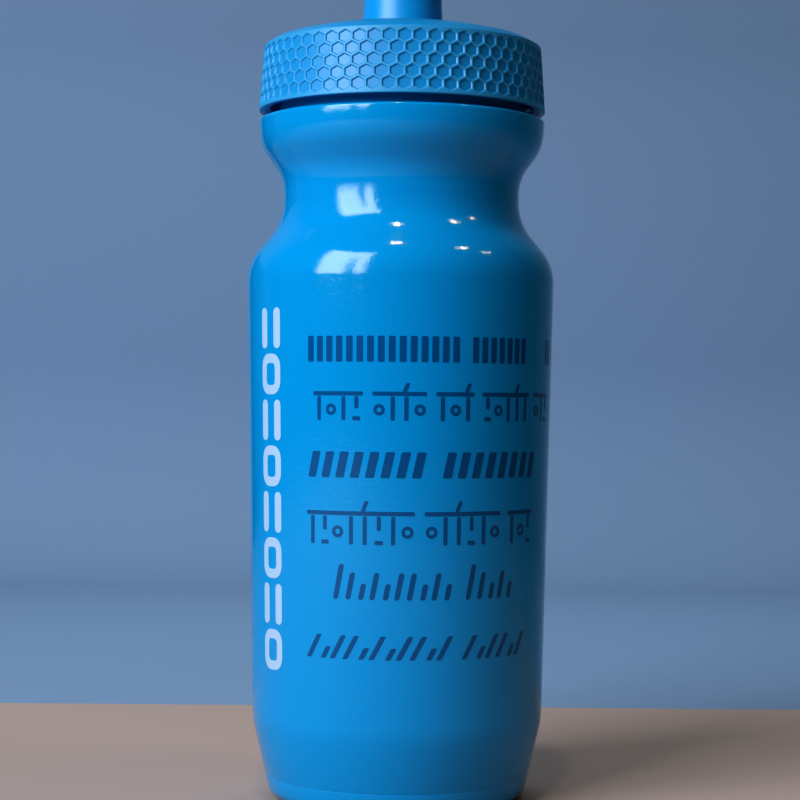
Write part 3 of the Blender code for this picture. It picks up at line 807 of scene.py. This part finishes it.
def honeycomb():
    """The skirt's ridged outside: rows of cells, bent round the axis and tapered with the skirt."""
    low_radius = skirt_radius(CELL_LOWEST)
    pitch = math.tau * low_radius / CELLS_ROUND
    cell_height = ROW_PITCH * 4 / 3
    top = CELL_LOWEST + (CELL_ROWS - 1) * ROW_PITCH + cell_height
    row = cell(pitch)
    apply_modifier(row, "ARRAY", count=CELLS_ROUND, use_relative_offset=False,
                   use_constant_offset=True, constant_offset_displace=(pitch, 0.0, 0.0),
                   use_merge_vertices=True, merge_threshold=WELD)
    first = -(CELLS_ROUND / 2 - 0.25) * pitch
    rows = []
    for number in range(CELL_ROWS):
        across = first + (number % 2) * pitch / 2
        rows.append(copy_of(row, (across, 0.0, cell_height / 2 + number * ROW_PITCH)))
    bpy.data.objects.remove(row)
    sheet = join("honeycomb", rows)
    edit(sheet)
    bpy.ops.mesh.remove_doubles(threshold=WELD)
    finish_edit()
    apply_modifier(sheet, "SIMPLE_DEFORM", deform_method="BEND", deform_axis="Z",
                   angle=math.tau * (CELLS_ROUND + 0.5) / CELLS_ROUND)
    sheet.location = (0.0, -low_radius, 0.0)
    fix_place(sheet)
    apply_modifier(sheet, "SIMPLE_DEFORM", deform_method="TAPER", deform_axis="Z",
                   factor=skirt_radius(top) / low_radius - 1)
    sheet.location = (0.0, 0.0, CELL_LOWEST)
    sheet.rotation_euler = (0.0, 0.0, CELL_TURN)
    fix_place(sheet)
    weld(sheet)
    return sheet, top


def level_rim(sheet, height, upper):
    """Extrudes the zigzag of cell tips to a level, round ring, and leaves that ring selected."""
    middle = (LID_EDGE + DOME_EDGE) / 2
    pick(sheet, "EDGE", lambda edge: edge.is_boundary and (edge.verts[0].co.z > middle) == upper)
    bpy.ops.mesh.extrude_edges_move(TRANSFORM_OT_translate={"value": (0.0, 0.0, 0.0)})
    bpy.ops.transform.resize(value=(1.0, 1.0, 0.0), center_override=(0.0, 0.0, height))
    mesh = bmesh.from_edit_mesh(sheet.data)
    for vert in mesh.verts:
        if vert.select:
            vert.co.xy = vert.co.xy.normalized() * skirt_radius(height)
    bmesh.update_edit_mesh(sheet.data)


def lid_corners(low, high):
    """The lid's corners, and the level of its tube's top.

    They run from the skirt's lower rim round the inside, up the spout and over the dome to the
    upper rim.
    """
    shoulder = LID_RADIUS - LID_TAPER
    dome_edge = shoulder - DOME_STEP
    crest = TOWER_RADIUS + (dome_edge - TOWER_RADIUS) * CREST_SHARE
    rib = LID_BORE_RADIUS - 2 * CONTACT - GASKET_WIDTH
    rib_inner = rib - RIB_WIDTH
    rib_share = (dome_edge - rib_inner) / (dome_edge - crest)
    rib_root = DOME_EDGE + (DOME_CREST - DOME_EDGE) * rib_share - LID_PLATE
    seal_low = (SEAL_LOW + SEAL_HIGH) / 2 - SEAL_GROOVE_HEIGHT / 2
    seal_high = seal_low + SEAL_GROOVE_HEIGHT
    catch = seal_low - CATCH_DROP
    tube_top = seal_high + TUBE_STEP
    ledge = VALVE_HIGH + CONTACT
    ledge_radius = VALVE_RADIUS - 0.95 * MM
    chamber = TOWER_TOP - CHAMBER_ROOF
    return [
        (skirt_radius(low), low, 0.0),
        (LID_RADIUS, LID_EDGE, 0.42 * MM),
        (LID_BORE_RADIUS + 1.25 * MM, LID_EDGE, 0.2 * MM),
        (LID_BORE_RADIUS, LID_EDGE + 0.7 * MM, 0.2 * MM),
        (LID_BORE_RADIUS, CEILING, 0.25 * MM),
        (rib, CEILING, 0.25 * MM),
        (rib, CEILING - RIB_DROP, 0.25 * MM),
        (rib_inner, CEILING - RIB_DROP, 0.25 * MM),
        (rib_inner, rib_root, 0.5 * MM),
        (crest, DOME_CREST - LID_PLATE, 40.0 * MM),
        (VALVE_RADIUS + 2.4 * MM, TOWER_ROOT - LID_PLATE, 0.0),
        (VALVE_RADIUS + CONTACT, TOWER_ROOT - LID_PLATE, 0.0),
        (VALVE_RADIUS + CONTACT, ledge, 0.0),
        (ledge_radius, ledge, 0.0),
        (ledge_radius, chamber, 0.6 * MM),
        (TUBE_BORE_RADIUS, chamber, 0.3 * MM),
        (TUBE_BORE_RADIUS, tube_top, 0.2 * MM),
        (TUBE_RADIUS, tube_top, 0.5 * MM),
        (TUBE_RADIUS, seal_high, 0.1 * MM),
        (TUBE_RADIUS - SEAL_GROOVE_DEPTH, seal_high, 0.15 * MM),
        (TUBE_RADIUS - SEAL_GROOVE_DEPTH, seal_low, 0.15 * MM),
        (TUBE_RADIUS, seal_low, 0.1 * MM),
        (TUBE_RADIUS, catch, 0.1 * MM),
        (TUBE_RADIUS - TUBE_STEP, catch, 0.15 * MM),
        (TUBE_RADIUS - TUBE_STEP, TOWER_TOP, 0.3 * MM),
        (TOWER_RADIUS, TOWER_TOP, 0.7 * MM),
        (TOWER_RADIUS + 0.45 * MM, TOWER_ROOT, 1.5 * MM),
        (crest, DOME_CREST, 40.0 * MM),
        (dome_edge, DOME_EDGE, 4.0 * MM),
        (shoulder, SHOULDER_CORNER, 0.6 * MM),
        (skirt_radius(high), high, 0.0),
    ], tube_top


def make_lid():
    lid, cells_top = honeycomb()
    low = LID_EDGE + RIM_HEIGHT
    high = cells_top + 0.05 * MM
    corners, tube_top = lid_corners(low, high)
    edit(lid, "EDGE")
    level_rim(lid, high, upper=True)
    level_rim(lid, low, upper=False)
    pull_ring(rounded(corners))
    finish_edit()
    weld(lid)
    lid_start = NECK_THREAD_START - THREAD_PITCH / 2
    ridge = thread("lid_thread", LID_BORE_RADIUS, -1.0, lid_start, LID_THREAD_TURNS)
    combine(lid, ridge, "UNION")
    spokes_top = tube_top - TUBE_STEP
    plug_low = spokes_top - SPOKE_HEIGHT
    plug_high = SLEEVE_HIGH - CONTACT
    plug = turned("plug", rounded([
        (AXIS_HOLE, plug_high, 0.0),
        (PLUG_RADIUS, plug_high, 0.7 * MM),
        (PLUG_RADIUS, plug_low, 0.3 * MM),
        (AXIS_HOLE, plug_low, 0.0),
    ]), SMALL_SIDES // 2, closed=False)
    combine(lid, plug, "UNION")
    reach = TUBE_BORE_RADIUS + 0.4 * MM
    spoke_middle = spokes_top - SPOKE_HEIGHT / 2
    for number in range(SPOKES):
        turn = math.tau * number / SPOKES
        place = (math.cos(turn) * reach / 2, math.sin(turn) * reach / 2, spoke_middle)
        combine(lid, box("spoke", (reach, SPOKE_WIDTH, SPOKE_HEIGHT), place, turn), "UNION")
    lid.name = "screw_lid"
    lid.data.materials.clear()
    lid.data.materials.append(lid_plastic)
    lid.data.materials.append(tower_plastic)
    edit(lid, "FACE")
    tower_foot = TOWER_ROOT - 0.2 * MM
    pick(lid, "FACE", lambda face: face.calc_center_median().z > tower_foot
         and face.calc_center_median().xy.length < TOWER_RADIUS + 1.2 * MM)
    lid.active_material_index = 1
    bpy.ops.object.material_slot_assign()
    finish_edit()
    dress(lid, lid_plastic, "lid", ["lid_shell"])


def make_small_parts():
    gasket_outer = LID_BORE_RADIUS - CONTACT
    gasket_inner = gasket_outer - GASKET_WIDTH
    gasket = turned("flat_gasket", rounded([
        (gasket_inner, GASKET_HIGH, 0.3 * MM),
        (gasket_outer, GASKET_HIGH, 0.3 * MM),
        (gasket_outer, GASKET_LOW, 0.3 * MM),
        (gasket_inner, GASKET_LOW, 0.3 * MM),
    ], closed=True), LID_SIDES)
    dress(gasket, seal_rubber, "gasket", ["lid_gasket"])

    inner = VALVE_RADIUS - VALVE_RIM
    skin_edge = inner - VALVE_SLOPE
    middle = (VALVE_LOW + VALVE_HIGH) / 2
    valve = turned("cross_slit_valve", rounded([
        (AXIS_HOLE, middle + VALVE_HALF_SKIN, 0.0),
        (skin_edge, middle + VALVE_HALF_SKIN, 0.3 * MM),
        (inner, VALVE_HIGH, 0.15 * MM),
        (VALVE_RADIUS, VALVE_HIGH, 0.3 * MM),
        (VALVE_RADIUS, VALVE_LOW, 0.3 * MM),
        (inner, VALVE_LOW, 0.15 * MM),
        (skin_edge, middle - VALVE_HALF_SKIN, 0.3 * MM),
        (AXIS_HOLE, middle - VALVE_HALF_SKIN, 0.0),
    ]), SMALL_SIDES, closed=False)
    for turn in SLIT_TURNS:
        slit = box("slit", SLIT_SIZE, (0.0, 0.0, middle), turn)
        combine(valve, slit, "DIFFERENCE")
    dress(valve, valve_rubber, "lid", ["slit_valve"])

    flange = VALVE_RADIUS + RETAINER_FLANGE
    seat = RETAINER_LOW + RETAINER_SEAT
    retainer = turned("snap_retainer", rounded([
        (inner, RETAINER_HIGH, 0.2 * MM),
        (VALVE_RADIUS, RETAINER_HIGH, 0.3 * MM),
        (VALVE_RADIUS, seat, 0.0),
        (flange, seat, 0.2 * MM),
        (flange, RETAINER_LOW, 0.3 * MM),
        (inner, RETAINER_LOW, 0.3 * MM),
    ], closed=True), SMALL_SIDES)
    dress(retainer, lid_plastic, "lid", ["valve_retainer"])

    seal_inner = TUBE_RADIUS - SEAL_GROOVE_DEPTH + CONTACT
    seal_outer = TUBE_RADIUS + SLIDE_GAP - CONTACT
    seal_middle = (seal_inner + seal_outer) / 2
    half_width = (seal_outer - seal_inner) / 2
    half_height = (SEAL_HIGH - SEAL_LOW) / 2
    outline = []
    for number in range(SEAL_SIDES):
        turn = math.tau * number / SEAL_SIDES
        outline.append((seal_middle + half_width * math.sin(turn),
                        SEAL_LOW + half_height + half_height * math.cos(turn)))
    seal = turned("seal_ring", outline, SMALL_SIDES)
    dress(seal, seal_rubber, "lid", ["nozzle_o_ring"])


# Nozzle.

def make_nozzle():
    bore = TUBE_RADIUS + SLIDE_GAP
    sleeve_radius = bore + SLEEVE_WALL
    flange_radius = sleeve_radius + SLEEVE_FLANGE
    flange_top = SLEEVE_LOW + SLEEVE_FLANGE_HEIGHT
    lip_radius = TUBE_RADIUS - TUBE_STEP + SLIDE_GAP
    lip_top = SLEEVE_LOW + SLEEVE_LIP_HEIGHT
    outlet = PLUG_RADIUS + SLIDE_GAP
    crown = SLEEVE_HIGH - SLEEVE_CROWN
    sleeve = turned("sliding_sleeve", rounded([
        (outlet, SLEEVE_HIGH, 0.3 * MM),
        (sleeve_radius, SLEEVE_HIGH, 0.5 * MM),
        (sleeve_radius, flange_top, 0.0),
        (flange_radius, flange_top, 0.25 * MM),
        (flange_radius, SLEEVE_LOW, 0.5 * MM),
        (lip_radius, SLEEVE_LOW, 0.25 * MM),
        (lip_radius, lip_top, 0.2 * MM),
        (bore, lip_top, 0.0),
        (bore, crown, 0.3 * MM),
        (outlet, crown, 0.3 * MM),
    ], closed=True), SMALL_SIDES)
    dress(sleeve, nozzle_plastic, "nozzle", ["nozzle_core"])

    socket = sleeve_radius + CONTACT
    socket_top = SLEEVE_HIGH + CONTACT
    waist = socket + MOUTH_WAIST
    head = socket + MOUTH_HEAD
    foot = socket + MOUTH_FOOT
    head_low = MOUTH_HIGH - MOUTH_HEAD_HEIGHT
    foot_high = MOUTH_LOW + MOUTH_FOOT_HEIGHT
    mouth = turned("soft_mouthpiece", rounded([
        (MOUTH_HOLE, MOUTH_HIGH, 1.2 * MM),
        (head, MOUTH_HIGH, 3.8 * MM),
        (head, head_low, 1.8 * MM),
        (waist, head_low - MOUTH_NECKING, 1.6 * MM),
        (waist, foot_high + MOUTH_NECKING, 1.6 * MM),
        (foot, foot_high, 1.2 * MM),
        (foot, MOUTH_LOW, 0.4 * MM),
        (socket, MOUTH_LOW, 0.2 * MM),
        (socket, socket_top, 0.3 * MM),
        (MOUTH_HOLE, socket_top, 0.2 * MM),
    ], closed=True), SMALL_SIDES)
    dress(mouth, mouth_rubber, "nozzle", ["mouthpiece"])


body_piece = make_bottle()
make_print()
make_lid()
make_small_parts()
make_nozzle()


# Studio: a pale table and sweep, a tall two-pane window light at the left, weak fills in front
# and behind, a few small ceiling lamps, and a black flag that only the gloss shows.

WINDOW_PANES = ((-52.3, 0.51), (-30.9, 0.20))
CEILING_LAMPS = ((-8.0, 74.0, 0.055, 170.0), (71.5, 55.7, 0.045, 170.0), (84.5, 43.0, 0.035, 130.0))
WINDOW_COLOUR = (0.98, 0.92, 1.0)
LAMP_COLOUR = (1.0, 0.74, 0.48)


def area_light(name, azimuth, elevation, distance, width, height, radiance, colour,
               target=(0.0, 0.0, 0.1)):
    """A rectangular light that faces the target. Azimuth 0 is in front, positive to the right."""
    light = bpy.data.lights.new(name, "AREA")
    light.shape = "RECTANGLE"
    light.size = width
    light.size_y = height
    light.color = colour
    light.energy = radiance * math.pi * width * height
    made = bpy.data.objects.new(name, light)
    bpy.context.scene.collection.objects.link(made)
    across, up = azimuth * DEGREE, elevation * DEGREE
    level = math.cos(up)
    offset = Vector((math.sin(across) * level, -math.cos(across) * level, math.sin(up)))
    made.location = Vector(target) + offset * distance
    made.rotation_euler = offset.to_track_quat("Z", "Y").to_euler()
    return made


def paper(name, colour):
    material = bpy.data.materials.new(name)
    material.use_nodes = True
    shader = material.node_tree.nodes["Principled BSDF"]
    shader.inputs["Base Color"].default_value = (*colour, 1.0)
    shader.inputs["Roughness"].default_value = 0.9
    shader.inputs["Specular IOR Level"].default_value = 0.2
    return material


def make_stage():
    take_none()
    bpy.ops.mesh.primitive_plane_add(size=1.0, location=(0.0, -0.53, 0.0))
    table = named("studio_table")
    table.scale = (3.6, 1.34, 1.0)
    fix_place(table)
    table.data.materials.append(paper("table_paper", (0.40, 0.345, 0.305)))
    take_none()
    bpy.ops.mesh.primitive_plane_add(size=1.0, location=(0.0, 0.41, -0.002))
    sweep = named("studio_sweep")
    sweep.scale = (3.6, 0.54, 1.0)
    fix_place(sweep)
    edit(sweep, "EDGE")
    pick(sweep, "EDGE", lambda edge: all(vert.co.y > 0.6 for vert in edge.verts))
    bpy.ops.mesh.extrude_edges_move(TRANSFORM_OT_translate={"value": (0.0, 0.0, 1.6)})
    pick(sweep, "EDGE",
         lambda edge: all(vert.co.y > 0.6 and vert.co.z < 0.1 for vert in edge.verts))
    bpy.ops.mesh.bevel(offset=0.12, segments=16)
    finish_edit()
    sweep.data.materials.append(paper("sweep_paper", (0.21, 0.33, 0.47)))
    smooth(sweep)
    flag = box("black_flag", (0.66, 0.004, 0.34), (-0.64, 0.60, 0.17))
    flag.data.materials.append(paper("black_felt", (0.01, 0.01, 0.012)))
    flag.visible_camera = False
    flag.visible_shadow = False
    flag.visible_diffuse = False


def make_lights():
    for number, (azimuth, width) in enumerate(WINDOW_PANES):
        area_light(f"window_pane_{number + 1}", azimuth, 28.2, 1.25, width, 0.94, 7.4,
                   WINDOW_COLOUR)
    fills = [
        area_light("back_fill", 180.0, 40.0, 0.65, 0.6, 0.3, 1.9, (0.95, 0.97, 1.0)),
        area_light("front_fill", -18.0, 22.0, 1.1, 0.6, 0.6, 0.65, WINDOW_COLOUR),
    ]
    for fill in fills:
        fill.visible_camera = False
        fill.visible_glossy = False
    area_light("wall_light", -100.0, 60.0, 1.0, 0.6, 0.3, 1.2, (0.9, 0.95, 1.0),
               target=(0.0, 0.62, 0.2))
    for number, (azimuth, elevation, width, radiance) in enumerate(CEILING_LAMPS):
        lamp = area_light(f"ceiling_lamp_{number + 1}", azimuth, elevation, 1.5, width, width,
                          radiance, LAMP_COLOUR, target=(0.0, 0.0, 0.135))
        lamp.data.shape = "DISK"


def make_surroundings():
    """A dim room for the gloss and the shade, and a pale blue behind everything else."""
    world = bpy.data.worlds.new("studio")
    world.use_nodes = True
    tree = world.node_tree
    surroundings = tree.nodes["Background"]
    surroundings.inputs["Color"].default_value = (0.45, 0.7, 1.0, 1.0)
    surroundings.inputs["Strength"].default_value = 0.035
    seen = tree.nodes.new("ShaderNodeBackground")
    seen.inputs["Color"].default_value = (0.13, 0.24, 0.38, 1.0)
    mix = tree.nodes.new("ShaderNodeMixShader")
    rays = tree.nodes.new("ShaderNodeLightPath")
    tree.links.new(rays.outputs["Is Camera Ray"], mix.inputs["Fac"])
    tree.links.new(surroundings.outputs["Background"], mix.inputs[1])
    tree.links.new(seen.outputs["Background"], mix.inputs[2])
    tree.links.new(mix.outputs["Shader"], tree.nodes["World Output"].inputs["Surface"])
    bpy.context.scene.world = world


def make_camera():
    camera = bpy.data.cameras.new("camera")
    camera.lens = 91.6
    camera.sensor_width = 36.0
    made = bpy.data.objects.new("camera", camera)
    bpy.context.scene.collection.objects.link(made)
    made.location = (0.0, -0.496, 0.0957)
    made.rotation_euler = (math.pi / 2, -0.5 * DEGREE, -0.012 * DEGREE)
    bpy.context.scene.camera = made


make_stage()
make_lights()
make_surroundings()
make_camera()
bpy.context.scene.view_settings.view_transform = "Standard"
bpy.context.scene.view_settings.look = "High Contrast"
